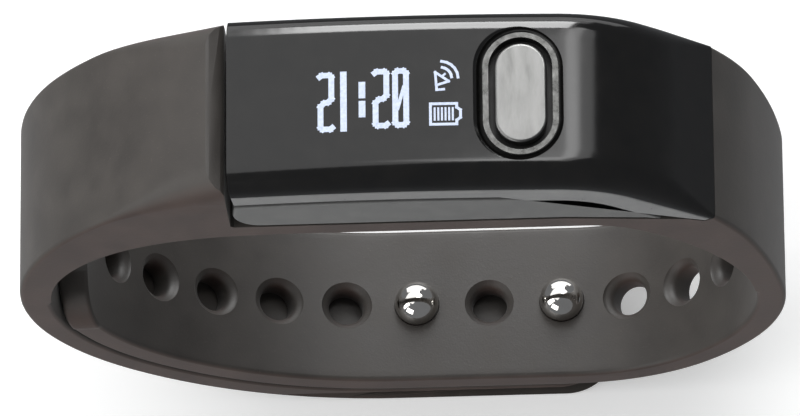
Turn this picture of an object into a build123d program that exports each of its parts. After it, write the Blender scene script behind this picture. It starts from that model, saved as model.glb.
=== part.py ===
from build123d import *
import os
from math import cos, degrees, radians, sin, sqrt

# Fitness tracker band, closed as on a wrist: a rubber strap with two overlapping tails
# carries a tracker pod that lifts out of its cradle. Millimetres and degrees.
# X runs along the display, Y across the strap and +Z out of the display. The origin is
# on the surface under the middle of the closed band.

# --- strap ---
pod_width = 16.0            # strap and pod across, at the pod
clasp_width = 14.4          # strap across, at the clasp
taper_top, taper_bottom = 44.0, 8.0
layer = 2.6                 # thickness of one tail
layer_gap = 0.15            # air between the overlapping tails
flat_left, flat_right = -2.0, 14.0
# tangent arcs as (radius, turn): the tail with holes, up the right side to the pod
corner_arc, low_right_arc, side_arc, shoulder_arc = (17.5, 45), (25.0, 50), (64.0, 11), (26.0, 18)
# the tail with the studs, from the bottom up the left side to the pod
low_left_arc, left_arc, lug_arc = (33.69, 45), (27.6, 80), (33.5, 32)
tip_turn = 12.0             # how far the stud tail follows the right-hand corner
hinge_turn = 19.0           # where the stud tail flexes, along its first arc
flex_gap = 0.2
# the cradle: its lug, its floor and the wrist side under it
lug_share, lug_short = 35.0, 1.5  # turns of the left arcs: taken by the lug, left off its end
lug_bevel = 0.7
cradle_gap = 0.1            # air around the pod in its cradle
lug_gap = 0.35              # air between the lug's end and the pod
wrist_right_heading = 95.0
wrist_right_arcs = [(23.6, 49), (8.0, 36)]
wrist_left_arc = (25.6, 20)

# --- holes and studs ---
pitch = 6.6
holes_right, holes_left = 4, 6
middle_hole = 6.5           # x of the hole between the two studs
throat_r, mouth_r, mouth_depth = 1.6, 2.15, 0.55
stretched_r = 2.75          # a hole that holds a stud is stretched open
tip_margin = 7.6            # from the last hole to the tail's end
ball_r, ball_lift = 2.0, 0.35
neck_r, rivet_r, rivet_t = 1.25, 2.2, 0.5
plate_t, plate_width, plate_left, plate_right, plate_corner = 0.8, 7.0, 7.4, 2.6, 2.0
tip_corner = 5.0            # plan radius of the stud tail's end
hole_tip_corner = 4.0       # and of the hole tail's end

# --- pod ---
top_arc, bend_arc, slope_length = (200.0, 8.2), (13.0, 51.8), 5.5
pod_depth = 9.8             # crown of the display to the underside
pod_corner = 2.4
pod_end = 1.1               # height of the pod's thin end
under_bend, under_knee, under_drop = 15.0, 25.5, 1.0  # the underside slopes down before the thin end
shoulder_r, shoulder_end_r = 2.2, 0.35
wall = 0.9
space_right = 22.5          # the thin end is solid beyond this
cover_depth, band_height, seal_height = 2.4, 1.8, 0.6
split_turn = 36.5           # bend of the seam lines below the cover
seal_inset = 0.35

# --- button ---
button_x = 11.7
cap_size, seal_size, bezel_size, trough_size = (4.5, 9.1), (5.5, 10.3), (6.5, 11.2), (7.4, 12.1)
trough_depth, cap_proud, press_travel = 0.45, 0.15, 0.35
cap_edge_r = 0.25
button_depth, seal_web = 1.5, 0.4
stem_r = 0.9

# --- inside the pod ---
glass_gap = 0.5             # air between the cover and the display
oled_size, oled_x = (17.6, 9.0, 1.2), -2.3
frame_rim, frame_window, frame_step = 0.6, (1.0, 0.8), 0.2
flex_width, flex_t, flex_reach = 4.4, 0.15, 2.3
board_size, board_x, board_lift, board_corner = (27.6, 12.6, 0.8), 2.6, 4.3, 0.8
battery_size, battery_x, battery_corner = (17.6, 11.0, 2.9), 0.7, 1.0
pad_size = (14.0, 8.0, 0.3)
switch_size, switch_well = (3.0, 3.6, 1.5), 0.5
plunger_r, plunger_rise = 0.7, 0.5
motor_r, motor_length, motor_x, motor_lift = 1.7, 5.2, 20.4, 2.75
motor_wall, weight_gap, weight_cut = 0.8, 0.3, 0.75
shaft_r, weight_r, weight_length = 0.4, 1.55, 2.4
run_clearance = 0.05
contact_r, contact_pitch, contact_x = 0.9, 3.2, 12.4
contact_flange, contact_head = 0.25, 0.3
screw_r, screw_head_r, screw_head, screw_boss_r, screw_boss = 0.5, 0.95, 0.6, 1.15, 2.6
screw_left, screw_right, screw_y = -9.6, 12.2, 5.7
slot_size = (1.2, 0.25, 0.25)
# chips as x, y, length, width, height, and whether they sit on top of the board
chips = {
    "radio_chip": (-1.0, 1.6, 3.4, 3.4, 0.7, True),
    "motion_sensor": (13.2, -3.6, 2.0, 2.0, 0.6, False),
    "memory_chip": (12.8, 2.6, 3.0, 2.4, 0.6, False),
    "clock_crystal": (14.6, -4.0, 2.5, 1.6, 0.5, True),
    "chip_antenna": (14.6, 4.4, 3.2, 1.6, 0.8, True),
}


def heading_vector(angle):
    return cos(radians(angle)), sin(radians(angle))


def walk(start, heading, arcs, offset=0.0):
    """Edges of a chain of tangent arcs in XZ, moved by offset to the right of travel.

    An arc is (radius, turn), with a left turn positive; (0, length) is a straight run.
    Returns the edges with the far end's place and heading, both without the offset."""
    edges = []
    x, z = start
    for radius, turn in arcs:
        if radius == 0:
            dx, dz = heading_vector(heading)
            stops = [(x, z, heading), (x + turn * dx, z + turn * dz, heading)]
        else:
            side = 1 if turn > 0 else -1
            dx, dz = heading_vector(heading + 90 * side)
            centre = (x + radius * dx, z + radius * dz)
            stops = []
            for part in (0, 0.5, 1):
                now = heading + turn * part
                dx, dz = heading_vector(now - 90 * side)
                stops.append((centre[0] + radius * dx, centre[1] + radius * dz, now))
        moved = [(sx + offset * sin(radians(a)), 0, sz - offset * cos(radians(a))) for sx, sz, a in stops]
        edges.append(Line(*moved) if radius == 0 else ThreePointArc(*moved))
        x, z, heading = stops[-1]
    return edges, (x, z), heading


def along(start, heading, arcs, distance, offset):
    """Place and heading after a distance measured on the offset line."""
    for radius, turn in arcs:
        side = 1 if turn > 0 else -1
        length = turn if radius == 0 else radians(abs(turn)) * (radius + offset * side)
        if distance <= length:
            part = distance if radius == 0 else turn * distance / length
            _, place, heading = walk(start, heading, [(radius, part)])
            return place, heading
        distance -= length
        _, start, heading = walk(start, heading, [(radius, turn)])
    raise ValueError("the line is too short")


def end_points(edges):
    return edges[0] @ 0, edges[-1] @ 1


def extruded(edges, width):
    """Solid of a closed XZ outline, centred on the XZ plane."""
    return extrude(make_face(edges), amount=width / 2, dir=(0, 1, 0), both=True)


def ribbon(start, heading, arcs, outer, inner, width):
    """A strip of the chain between two offsets."""
    out_edges, _, _ = walk(start, heading, arcs, outer)
    in_edges, _, _ = walk(start, heading, arcs, inner)
    a0, a1 = end_points(out_edges)
    b0, b1 = end_points(in_edges)
    return extruded([*out_edges, Line(a1, b1), *in_edges, Line(b0, a0)], width)


def block(x0, x1, y0, y1, z0, z1):
    size = (x1 - x0, y1 - y0, z1 - z0)
    return Pos((x0 + x1) / 2, (y0 + y1) / 2, (z0 + z1) / 2) * Box(*size)


def rod(radius, z0, z1, x=0.0, y=0.0):
    return Pos(x, y, (z0 + z1) / 2) * Cylinder(radius, z1 - z0)


def stadium(size, z0, z1, x=0.0):
    """Upright slug, round at both ends of its length along Y."""
    across, length = size
    outline = SlotOverall(length, across, rotation=90)
    return extrude(Pos(x, 0, z0) * outline, amount=z1 - z0)


def width_envelope(length=90.0, height=80.0):
    """Everything inside the strap's width, which tapers down towards the clasp."""
    wide, narrow = pod_width / 2, clasp_width / 2
    half = [(narrow, -20), (narrow, taper_bottom), (wide, taper_top), (wide, height)]
    outline = Polyline(*half, *[(-y, z) for y, z in reversed(half)], close=True)
    face = Plane.YZ * make_face(outline)
    return extrude(face, amount=length / 2, both=True)


# --- lines that the parts share ---
right_start = (flat_right, layer + layer_gap)
right_arcs = [corner_arc, low_right_arc, side_arc, shoulder_arc]
_, pod_right, slope_heading = walk(right_start, 0, right_arcs)
pod_arcs = [(0, slope_length), bend_arc, top_arc]
_, pod_left, top_heading = walk(pod_right, slope_heading, pod_arcs)
end_fall = radians(top_heading - 180)
crown = pod_left[1] + top_arc[0] * (1 - cos(end_fall))
crown_x = pod_left[0] + top_arc[0] * sin(end_fall)
button_top = crown - top_arc[0] + sqrt(top_arc[0] ** 2 - (button_x - crown_x) ** 2)
pod_under = crown - pod_depth
left_arcs = [(radius, -turn) for radius, turn in (low_left_arc, left_arc, lug_arc)]
left_start = (flat_left, 0)
_, lug_top, _ = walk(left_start, 180, left_arcs)
_, flex_point, _ = walk(left_start, 180, [(low_left_arc[0], -hinge_turn)])
inner_right = walk(right_start, 0, right_arcs[:2], -layer)[0][-1] @ 1
lug_face = pod_left[0] - lug_gap


# --- strap ---
def hole_tail_line():
    """Place and heading of the hole tail's tip, inside the left of the band."""
    to_left = [(0, flat_right - flat_left), *left_arcs[:2]]
    last_hole = flat_right - middle_hole + holes_left * pitch
    place, heading = along((flat_right, 0), 180, to_left, last_hole + tip_margin, 1.5 * layer)
    return place, heading - 180


def hole_tail_arcs():
    """Arcs of the hole tail's outer face, from its tip to the bottom's right end."""
    _, heading = hole_tail_line()
    first = (left_arc[0], -heading - low_left_arc[1])
    return [first, low_left_arc, (0, flat_right - flat_left)]


def make_strap_body():
    """The strap in one piece: hole tail, right side, cradle, lug and left side."""
    place, heading = hole_tail_line()
    inner_side = -2 * layer - layer_gap
    body = ribbon(place, heading, hole_tail_arcs(), -layer - layer_gap, inner_side, pod_width)
    body &= tip_envelope(place[1])
    body += ribbon(right_start, 0, right_arcs[:2], 0, -layer, pod_width)
    body += make_cradle()
    start_turn = hinge_turn + degrees(flex_gap / low_left_arc[0])
    left_side = [(low_left_arc[0], start_turn - low_left_arc[1]), (left_arc[0], lug_share - left_arc[1])]
    _, place, heading = walk(left_start, 180, [(low_left_arc[0], -start_turn)])
    body += ribbon(place, heading, left_side, 0, layer, pod_width)
    body &= width_envelope()
    return body - make_holes()


def tip_envelope(top):
    """Upright prism along X whose round upper corners shape the hole tail's end."""
    share = (top - taper_bottom) / (taper_top - taper_bottom)
    width = clasp_width + share * (pod_width - clasp_width)
    height = top + 10
    plan = Plane.YZ * Pos(0, top - height / 2) * RectangleRounded(width, height, hole_tip_corner)
    return extrude(plan, amount=60, both=True)


def make_cradle():
    """Shoulder, cradle floor and lug: the strap's thick part around the pod."""
    right_out, _, _ = walk(right_start, 0, right_arcs)
    right_out = right_out[2:]
    side_foot = right_out[0] @ 0
    low_turn = lug_share - left_arc[1]
    _, at_side, side_heading = walk(left_start, 180, [left_arcs[0], (left_arc[0], low_turn)])
    lug_arcs = [(left_arc[0], -lug_share), (lug_arc[0], lug_short - lug_arc[1])]
    lug_out, lug_end, _ = walk(at_side, side_heading, lug_arcs)
    bevel_z = lug_top[1] - lug_bevel
    # wrist side: up from the right, along the floor and down on the left
    inner, floor_end, _ = walk((inner_right.X, inner_right.Z), wrist_right_heading, wrist_right_arcs)
    left_x = at_side[0] + layer
    reach = floor_end[1] - at_side[1]
    easy_r, easy_turn = wrist_left_arc
    easy = radians(easy_turn)
    tight_r = (reach - easy_r * (1 - cos(easy))) / cos(easy)
    start_x = left_x + easy_r * sin(easy) + tight_r * (1 - sin(easy))
    left_turns = [wrist_left_arc, (tight_r, 90 - easy_turn)]
    floor_left, _, _ = walk((start_x, floor_end[1]), 180, left_turns)
    seat_left = [(lug_face, bevel_z), *cradle_seat_points()]
    outline = [
        *right_out,
        Polyline((pod_right[0], 0, pod_right[1]), *[(x, 0, z) for x, z in reversed(seat_left)]),
        Line((lug_face, 0, bevel_z), (lug_end[0], 0, lug_end[1])),
        *lug_out,
        Line((at_side[0], 0, at_side[1]), (left_x, 0, at_side[1])),
        *floor_left,
        Line((start_x, 0, floor_end[1]), (floor_end[0], 0, floor_end[1])),
        *inner,
        Line(inner_right, side_foot),
    ]
    return extruded(outline, pod_width)


def cradle_seat_points():
    """The cradle's seat from its left wall to the pod's thin end."""
    seat = [(x, z - cradle_gap) for x, z in pod_underside()[1:]]
    return [(lug_face, pod_under - cradle_gap), *seat]


def pod_underside():
    """The pod's flat underside and its slope to the thin end."""
    dx, dz = heading_vector(slope_heading + 90)
    end = (pod_right[0] + pod_end * dx, pod_right[1] + pod_end * dz)
    return [(pod_left[0], pod_under), (under_bend, pod_under), (under_knee, pod_under - under_drop), end]


def hole_places():
    """Middle of each hole on the hole tail's outer surface, with the tail's heading there."""
    middle = (middle_hole, layer + layer_gap)
    to_right = [(0, flat_right - middle_hole), *right_arcs]
    to_left = [(0, middle_hole - flat_left), *left_arcs]
    places = [(middle, 0)]
    for k in range(1, holes_right + 1):
        places.append(along(middle, 0, to_right, k * pitch, -layer / 2))
    for k in range(1, holes_left + 1):
        (x, z), heading = along((middle_hole, 0), 180, to_left, k * pitch, 1.5 * layer + layer_gap)
        dx, dz = heading_vector(heading - 90)
        shift = layer + layer_gap
        places.append(((x + shift * dx, z + shift * dz), heading - 180))
    return places


def make_holes():
    cutters = []
    over = 0.3
    flare = (mouth_r - throat_r) / mouth_depth
    for (x, z), heading in hole_places():
        holds_stud = any(abs(x - stud) < over for stud in stud_places())
        if holds_stud:
            tool = rod(stretched_r, -over, layer + over)
        else:
            mouth = Cone(throat_r, mouth_r + flare * over, mouth_depth + over)
            tool = rod(throat_r, -over, layer + over)
            tool += Pos(0, 0, layer - (mouth_depth - over) / 2) * mouth
        cutters.append(Pos(x, 0, z) * Rot(0, -heading, 0) * tool)
    return cutters


def stud_places():
    return [middle_hole - pitch, middle_hole + pitch]


def make_clasp_plate():
    """Metal plate let into the stud tail's outer face."""
    first, last = stud_places()
    left, right = first - plate_left, last + plate_right
    outline = RectangleRounded(right - left, plate_width, plate_corner)
    return extrude(Pos((left + right) / 2, 0, 0) * outline, amount=plate_t)


def make_stud_tail():
    """The stud tail from its flexing line to its round end."""
    follow = (corner_arc[0] + layer + layer_gap, tip_turn)
    run = [(0, flat_right - flat_left), follow]
    tail = ribbon(left_start, 180, [(low_left_arc[0], -hinge_turn)], 0, layer, clasp_width)
    tail += ribbon(left_start, 0, run, 0, -layer, clasp_width)
    _, tip, _ = walk(left_start, 0, run)
    start_x = flex_point[0] - 2
    height = 12.0
    plan = RectangleRounded(tip[0] - start_x, clasp_width, tip_corner)
    ending = extrude(Pos((start_x + tip[0]) / 2, 0, -1) * plan, amount=height)
    ending += block(start_x - 1, 0, -clasp_width / 2, clasp_width / 2, -1, height - 1)
    tail &= ending
    tail -= make_clasp_plate()
    for x in stud_places():
        tail -= rod(neck_r, -1, layer + 1, x)
        tail -= rod(rivet_r, plate_t, plate_t + rivet_t, x)
    return tail


def make_studs():
    """Two ball-headed studs, riveted to the clasp plate."""
    inner_face = 2 * layer + layer_gap
    studs = []
    for x in stud_places():
        stud = rod(rivet_r, plate_t, plate_t + rivet_t, x)
        stud += rod(neck_r, plate_t + rivet_t / 2, inner_face, x)
        stud += Pos(x, 0, inner_face + ball_lift) * Sphere(ball_r)
        studs.append(stud)
    return Compound(studs)


# --- pod ---
def seam_line(depth):
    """A seam that follows the display, then runs straighter than the slope to the thin end."""
    arcs = [(top_arc[0], -top_arc[1]), (bend_arc[0], -split_turn), (0, 12.0)]
    edges, _, _ = walk(pod_left, top_heading - 180, arcs, depth)
    return edges


def seam_slab(upper, lower):
    """Everything between two seams."""
    top, under = seam_line(upper), seam_line(lower)
    a0, a1 = end_points(top)
    b0, b1 = end_points(under)
    left = pod_left[0] - 2
    outline = [*top, Line(a1, b1), *under, Line(b0, (left, 0, b0.Z)),
               Line((left, 0, b0.Z), (left, 0, a0.Z))]
    return extruded([*outline, Line((left, 0, a0.Z), a0)], pod_width + 4)


def pod_outline(inset=0.0):
    """Closed outline of the pod, or of the space inside its walls."""
    arcs = [(top_arc[0], -top_arc[1]), (bend_arc[0], -bend_arc[1]), (0, slope_length - 2 * inset)]
    top, _, _ = walk(pod_left, top_heading - 180, arcs, inset)
    a0, a1 = end_points(top)
    left = pod_left[0] + inset
    under = [(x, 0, z + inset) for x, z in reversed(pod_underside()[1:])]
    if inset:
        del under[0]
    r = pod_corner - inset
    foot = under[-1][2]
    mid = r * (1 - sin(radians(45)))
    corner = ThreePointArc((left + r, 0, foot), (left + mid, 0, foot + mid), (left, 0, foot + r))
    bottom = Polyline(a1, *under, (left + r, 0, foot))
    side = Polyline((left, 0, foot + r), (left, 0, a0.Z), a0) if inset else Line((left, 0, foot + r), a0)
    return [*top, bottom, corner, side]


def make_pod_solid():
    """The pod's outer shape: long shoulders that fade along the slope to the thin end."""
    deep = 14.0
    arcs = [(top_arc[0], -top_arc[1]), (bend_arc[0], -bend_arc[1])]
    top, knee, heading = walk(pod_left, top_heading - 180, arcs)
    dx, dz = heading_vector(heading - 90)
    under_knee = (knee[0] + deep * dx, 0, knee[1] + deep * dz)
    under_left = (pod_left[0], 0, under_knee[2])
    a0, a1 = end_points(top)
    main = extruded([*top, Line(a1, under_knee), Line(under_knee, under_left),
                     Line(under_left, a0)], pod_width)
    long_edges = [
        e for e in main.edges()
        if abs(abs(e.center().Y) - pod_width / 2) < 1e-6 and e.geom_type == GeomType.CIRCLE
    ]
    main = fillet(long_edges, shoulder_r)
    slope, _, _ = walk(knee, heading, [(0, slope_length)])
    far = slope[0] @ 1
    under_far = (far.X + deep * dx, 0, far.Z + deep * dz)
    wedge = extruded([slope[0], Line(far, under_far), Line(under_far, under_knee),
                      Line(under_knee, a1)], pod_width)
    wedge -= [shoulder_cutter(a1, far, heading, side) for side in (1, -1)]
    whole = main + wedge
    return whole & extruded(pod_outline(), pod_width + 2)


def shoulder_cutter(near, far, heading, side):
    """What the fading shoulder takes off one long edge of the slope."""
    faces = []
    direction = Vector(*[heading_vector(heading)[0], 0, heading_vector(heading)[1]])
    for place, r in ((near, shoulder_r), (far, shoulder_end_r)):
        plane = Plane(origin=place, x_dir=(0, side, 0), z_dir=direction)
        down = -1 if plane.y_dir.Z > 0 else 1
        half = pod_width / 2
        mid = r * (1 - sin(radians(45)))
        corner = (half, 0)
        arc = ThreePointArc((half - r, 0), (half - mid, down * mid), (half, down * r))
        outline = [arc, Line((half, down * r), corner), Line(corner, (half - r, 0))]
        faces.append(plane * make_face(outline))
    return loft(faces, ruled=True)


def pod_space():
    half = pod_width / 2 - wall
    return extruded(pod_outline(wall), 2 * half) & block(-40, space_right, -half, half, 0, 80)


def button_recess():
    top = crown + 1
    trough = stadium(trough_size, button_top - trough_depth, top, button_x)
    return trough + stadium(bezel_size, button_top - 2 * button_depth, top, button_x)


def make_cover(pod):
    shell = pod & seam_slab(-3, cover_depth)
    shell -= pod_space()
    return shell - button_recess()


def make_side_band(pod):
    return (pod & seam_slab(cover_depth, cover_depth + band_height)) - pod_space()


def make_seal(pod):
    low = cover_depth + band_height + seal_height
    ring = pod & seam_slab(cover_depth + band_height, low)
    ring &= block(pod_left[0] + seal_inset, 40,
                  -pod_width / 2 + seal_inset, pod_width / 2 - seal_inset, 0, 70)
    return ring - pod_space()


def make_housing(pod):
    low = cover_depth + band_height + seal_height
    tub = (pod & seam_slab(low, 30)) - pod_space()
    for x, y in contact_places():
        tub -= rod(contact_r, pod_under - 1, pod_under + wall + 1, x, y)
    for x, y in screw_places():
        tub += rod(screw_boss_r, pod_under + wall - 0.1, pod_under + screw_boss, x, y)
        tub -= rod(screw_r, pod_under - 1, pod_under + screw_boss + 1, x, y)
        tub -= rod(screw_head_r + 0.05, pod_under - 1, pod_under + screw_head, x, y)
    return tub


def contact_places():
    return [(contact_x, side * contact_pitch / 2) for side in (-1, 1)]


def screw_places():
    return [(x, side * screw_y) for x in (screw_left, screw_right) for side in (-1, 1)]


def make_screws():
    screws = []
    for x, y in screw_places():
        screw = rod(screw_head_r, pod_under + 0.05, pod_under + screw_head, x, y)
        screw += rod(screw_r, pod_under + 0.05, pod_under + screw_boss + 0.4, x, y)
        screws.append(screw - Pos(x, y, pod_under + 0.15) * Box(*slot_size))
    return Compound(screws)


def make_contacts():
    contacts = []
    for x, y in contact_places():
        pin = rod(contact_r, pod_under - 0.05, pod_under + wall + contact_head / 2, x, y)
        head = rod(contact_r + contact_flange, pod_under + wall, pod_under + wall + contact_head, x, y)
        contacts.append(pin + head)
    return Compound(contacts)


# --- button ---
def make_button():
    """Bezel, soft seal and metal cap with its stem."""
    low, top = button_top - button_depth, crown + 1
    bezel = stadium(bezel_size, low, button_top - 0.05, button_x)
    bezel -= stadium(seal_size, low - 1, top, button_x)
    seal = stadium(seal_size, low, low + seal_web, button_x)
    seal -= rod(stem_r + run_clearance, low - 1, top, button_x)
    cap_top = button_top + cap_proud
    cap = stadium(cap_size, low + seal_web + press_travel + 0.1, cap_top, button_x)
    rim = [edge for edge in cap.edges() if abs(edge.center().Z - cap_top) < 1e-6]
    cap = fillet(rim, cap_edge_r)
    cap += rod(stem_r, stem_foot(), button_top - 0.5, button_x)
    return bezel, seal, cap


def board_under():
    return pod_under + board_lift


def board_top():
    return board_under() + board_size[2]


def stem_foot():
    return board_top() + switch_size[2] + plunger_rise + 0.02


def make_switch():
    length, across, height = switch_size
    floor, top = board_top() + switch_well, board_top() + height
    x0, x1 = button_x - length / 2, button_x + length / 2
    body = block(x0, x1, -across / 2, across / 2, board_top(), top)
    body -= rod(plunger_r + run_clearance, floor, top + 1, button_x)
    plunger = rod(plunger_r, floor + press_travel + 0.05, top + plunger_rise, button_x)
    return body, plunger


# --- display, board, battery and motor ---
def make_display():
    """Display panel, the frame it sits in and its flexible cable."""
    length, across, thick = oled_size
    x0, x1 = oled_x - length / 2, oled_x + length / 2
    top = crown - wall - glass_gap
    under, board = top - thick, board_top()
    half, half_flex = across / 2, flex_width / 2
    panel = block(x0, x1, -half, half, under, top)
    rim = half + frame_rim
    frame = block(x0 - frame_rim, x1 + frame_rim, -rim, rim, board, top - frame_step)
    frame -= block(x0, x1, -half, half, under, crown)
    ledge_x, ledge_y = frame_window
    frame -= block(x0 + ledge_x, x1 - ledge_x, ledge_y - half, half - ledge_y, board - 1, crown)
    frame -= block(x0 - 2, x0 + 3, -half_flex - flex_t, half_flex + flex_t, board - 1, under)
    turn = x0 + ledge_x + 3
    flex = block(x0 + ledge_x, turn, -half_flex, half_flex, under - flex_t, under)
    flex += block(turn - flex_t, turn, -half_flex, half_flex, board, under)
    flex += block(turn - flex_t, turn + flex_reach, -half_flex, half_flex, board, board + flex_t)
    return panel, frame, flex


def make_board():
    length, across, thick = board_size
    plan = RectangleRounded(length, across, board_corner)
    return extrude(Pos(board_x, 0, board_under()) * plan, amount=thick)


def make_chip(x, y, length, across, height, on_top):
    z0 = board_top() if on_top else board_under() - height
    return block(x - length / 2, x + length / 2, y - across / 2, y + across / 2, z0, z0 + height)


def make_battery():
    """Adhesive pad and the cell it holds down."""
    z0 = pod_under + wall
    pad = Pos(battery_x, 0, z0 + pad_size[2] / 2) * Box(*pad_size)
    length, across, thick = battery_size
    plan = RectangleRounded(length, across, battery_corner)
    cell = extrude(Pos(battery_x, 0, z0 + pad_size[2]) * plan, amount=thick)
    return pad, cell


def make_motor():
    """Vibration motor across the pod: case, shaft and eccentric weight."""
    z = pod_under + motor_lift
    y0 = -(motor_length + weight_gap + weight_length) / 2
    y1 = y0 + motor_length
    w0 = y1 + weight_gap
    w1 = w0 + weight_length

    def tube(radius, a, b):
        return Pos(motor_x, (a + b) / 2, z) * Rot(90, 0, 0) * Cylinder(radius, b - a)

    case = tube(motor_r, y0, y1) - tube(shaft_r + run_clearance, y0 + motor_wall, y1 + 1)
    shaft = tube(shaft_r, y0 + motor_wall + run_clearance, w1)
    weight = tube(weight_r, w0, w1)
    weight -= block(motor_x - 5, motor_x + 5, w0 - 1, w1 + 1, z + weight_cut, z + 5)
    weight -= tube(shaft_r, w0 - 1, w1 + 1)
    return case, shaft, weight


def all_parts():
    pod = make_pod_solid()
    bezel, button_seal, cap = make_button()
    switch_body, plunger = make_switch()
    panel, frame, flex = make_display()
    pad, cell = make_battery()
    case, shaft, weight = make_motor()
    parts = {
        "strap_body": make_strap_body(),
        "stud_tail": make_stud_tail(),
        "clasp_plate": make_clasp_plate(),
        "clasp_studs": make_studs(),
        "cover": make_cover(pod),
        "side_band": make_side_band(pod),
        "housing_seal": make_seal(pod),
        "lower_housing": make_housing(pod),
        "button_bezel": bezel,
        "button_seal": button_seal,
        "button_cap": cap,
        "switch_body": switch_body,
        "switch_plunger": plunger,
        "oled_panel": panel,
        "display_frame": frame,
        "display_flex": flex,
        "main_board": make_board(),
        "battery_pad": pad,
        "battery_cell": cell,
        "motor_case": case,
        "motor_shaft": shaft,
        "motor_weight": weight,
        "charging_contacts": make_contacts(),
        "housing_screws": make_screws(),
    }
    for name, place in chips.items():
        parts[name] = make_chip(*place)
    return parts


os.makedirs("parts", exist_ok=True)
for node, shape in all_parts().items():
    shape.label = node
    export_step(shape, f"parts/{node}.step")
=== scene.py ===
import bmesh
import bpy
import math
from mathutils import Matrix, Vector
from mathutils.bvhtree import BVHTree
from mathutils.geometry import tessellate_polygon
from mathutils.interpolate import poly_3d_calc


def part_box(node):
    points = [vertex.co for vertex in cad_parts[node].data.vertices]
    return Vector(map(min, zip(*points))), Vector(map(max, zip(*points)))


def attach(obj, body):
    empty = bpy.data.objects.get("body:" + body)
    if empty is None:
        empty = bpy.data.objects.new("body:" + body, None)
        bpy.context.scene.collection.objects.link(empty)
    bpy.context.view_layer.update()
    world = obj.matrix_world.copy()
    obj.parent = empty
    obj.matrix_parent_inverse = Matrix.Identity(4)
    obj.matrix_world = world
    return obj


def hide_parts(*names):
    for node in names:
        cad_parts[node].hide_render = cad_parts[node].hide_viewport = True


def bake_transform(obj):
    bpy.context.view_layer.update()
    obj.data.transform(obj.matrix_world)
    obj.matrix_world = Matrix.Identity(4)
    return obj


# Looks of the fitness tracker band. Lines are worked out in millimetres in the XZ plane,
# with the same driving dimensions as the CAD, and meshes are in metres.

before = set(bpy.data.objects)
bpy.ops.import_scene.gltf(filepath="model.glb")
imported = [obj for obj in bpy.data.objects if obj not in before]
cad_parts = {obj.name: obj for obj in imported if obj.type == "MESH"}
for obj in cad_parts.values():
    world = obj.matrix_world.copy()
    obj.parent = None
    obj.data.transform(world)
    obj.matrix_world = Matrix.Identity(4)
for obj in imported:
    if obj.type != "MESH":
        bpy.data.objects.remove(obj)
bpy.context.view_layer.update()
MM = 0.001

# --- dimensions, mm and degrees ---
LAYER, LAYER_GAP = 2.6, 0.15
FLAT_LEFT, FLAT_RIGHT = -2.0, 14.0
CORNER, LOW_RIGHT, SIDE, SHOULDER = (17.5, 45), (25.0, 50), (64.0, 11), (26.0, 18)
LOW_LEFT, LEFT, LUG = (33.69, 45), (27.6, 80), (33.5, 32)
LUG_SHARE, LUG_SHORT, LUG_BEVEL, LUG_GAP = 35.0, 1.5, 0.7, 0.35
TIP_TURN, TIP_CORNER, HOLE_TIP_CORNER = 12.0, 5.0, 4.0
JOIN_TURN = 8.0
PITCH, MIDDLE_HOLE, TIP_MARGIN = 6.6, 6.5, 7.6
CRADLE_GAP = 0.1
HALF = 8.0                  # half of the pod's and cradle's width
WRIST_RIGHT, WRIST_LEFT = [(23.6, 49), (8.0, 36)], (25.6, 20)
TOP, BEND, SLOPE = (200.0, 8.2), (13.0, 51.8), 5.5
POD_DEPTH, POD_CORNER, POD_END = 9.8, 2.4, 1.1
SHOULDER_R, SHOULDER_END_R = 2.2, 0.35
COVER_DEPTH, BAND, SEAL, SPLIT_TURN = 2.4, 1.8, 0.6, 36.5
WALL, SPACE_RIGHT = 0.9, 22.5
BUTTON_X = 11.7
TROUGH = (7.4, 12.1)
RIM = 0.4                   # rounding of the strap's long edges
FLOOR_RIM = 0.1             # the same at the side of the cradle's floor
LUG_R, LUG_FADE = 2.2, 13.0  # the lug's long shoulders and how far they fade
STEP = 0.4


def cosd(a):
    return math.cos(math.radians(a))


def sind(a):
    return math.sin(math.radians(a))


def smooth(t):
    t = min(1.0, max(0.0, t))
    return t * t * (3 - 2 * t)


# --- lines ---
def trace(start, heading, arcs, offset=0.0, step=STEP):
    """Points (x, z, heading) along tangent arcs, offset to the right of travel, and the end."""
    x, z = start
    points = []
    for radius, turn in arcs:
        length = turn if radius == 0 else math.radians(abs(turn)) * radius
        count = max(1, math.ceil(length / step))
        side = 1 if turn > 0 else -1
        cx, cz = x + radius * cosd(heading + 90 * side), z + radius * sind(heading + 90 * side)
        for k in range(1 if points else 0, count + 1):
            t = k / count
            if radius == 0:
                here = (x + turn * t * cosd(heading), z + turn * t * sind(heading), heading)
            else:
                a = heading + turn * t
                here = (cx + radius * cosd(a - 90 * side), cz + radius * sind(a - 90 * side), a)
            points.append(here)
        if radius == 0:
            x, z = x + turn * cosd(heading), z + turn * sind(heading)
        else:
            heading += turn
            x, z = cx + radius * cosd(heading - 90 * side), cz + radius * sind(heading - 90 * side)
    moved = [(px + offset * sind(a), pz - offset * cosd(a), a) for px, pz, a in points]
    return moved, (x, z), heading


def along(start, heading, arcs, distance, offset):
    """Place and heading on the unshifted line after a distance measured on the offset one."""
    for radius, turn in arcs:
        side = 1 if turn > 0 else -1
        length = turn if radius == 0 else math.radians(abs(turn)) * (radius + offset * side)
        if distance <= length:
            part = distance if radius == 0 else turn * distance / length
            _, place, heading = trace(start, heading, [(radius, part)])
            return place, heading
        distance -= length
        _, start, heading = trace(start, heading, [(radius, turn)])
    return start, heading


def crossing(points, a, b):
    """The line of points cut off where it crosses the line through a and b."""
    def side_of(p):
        return (b[0] - a[0]) * (p[1] - a[1]) - (b[1] - a[1]) * (p[0] - a[0])
    kept = [points[0]]
    for p in points[1:]:
        s0, s1 = side_of(kept[-1]), side_of(p)
        if s0 * s1 < 0:
            t = s0 / (s0 - s1)
            q = kept[-1]
            kept.append(tuple(q[i] + (p[i] - q[i]) * t for i in range(3)))
            return kept
        kept.append(p)
    return kept


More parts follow.
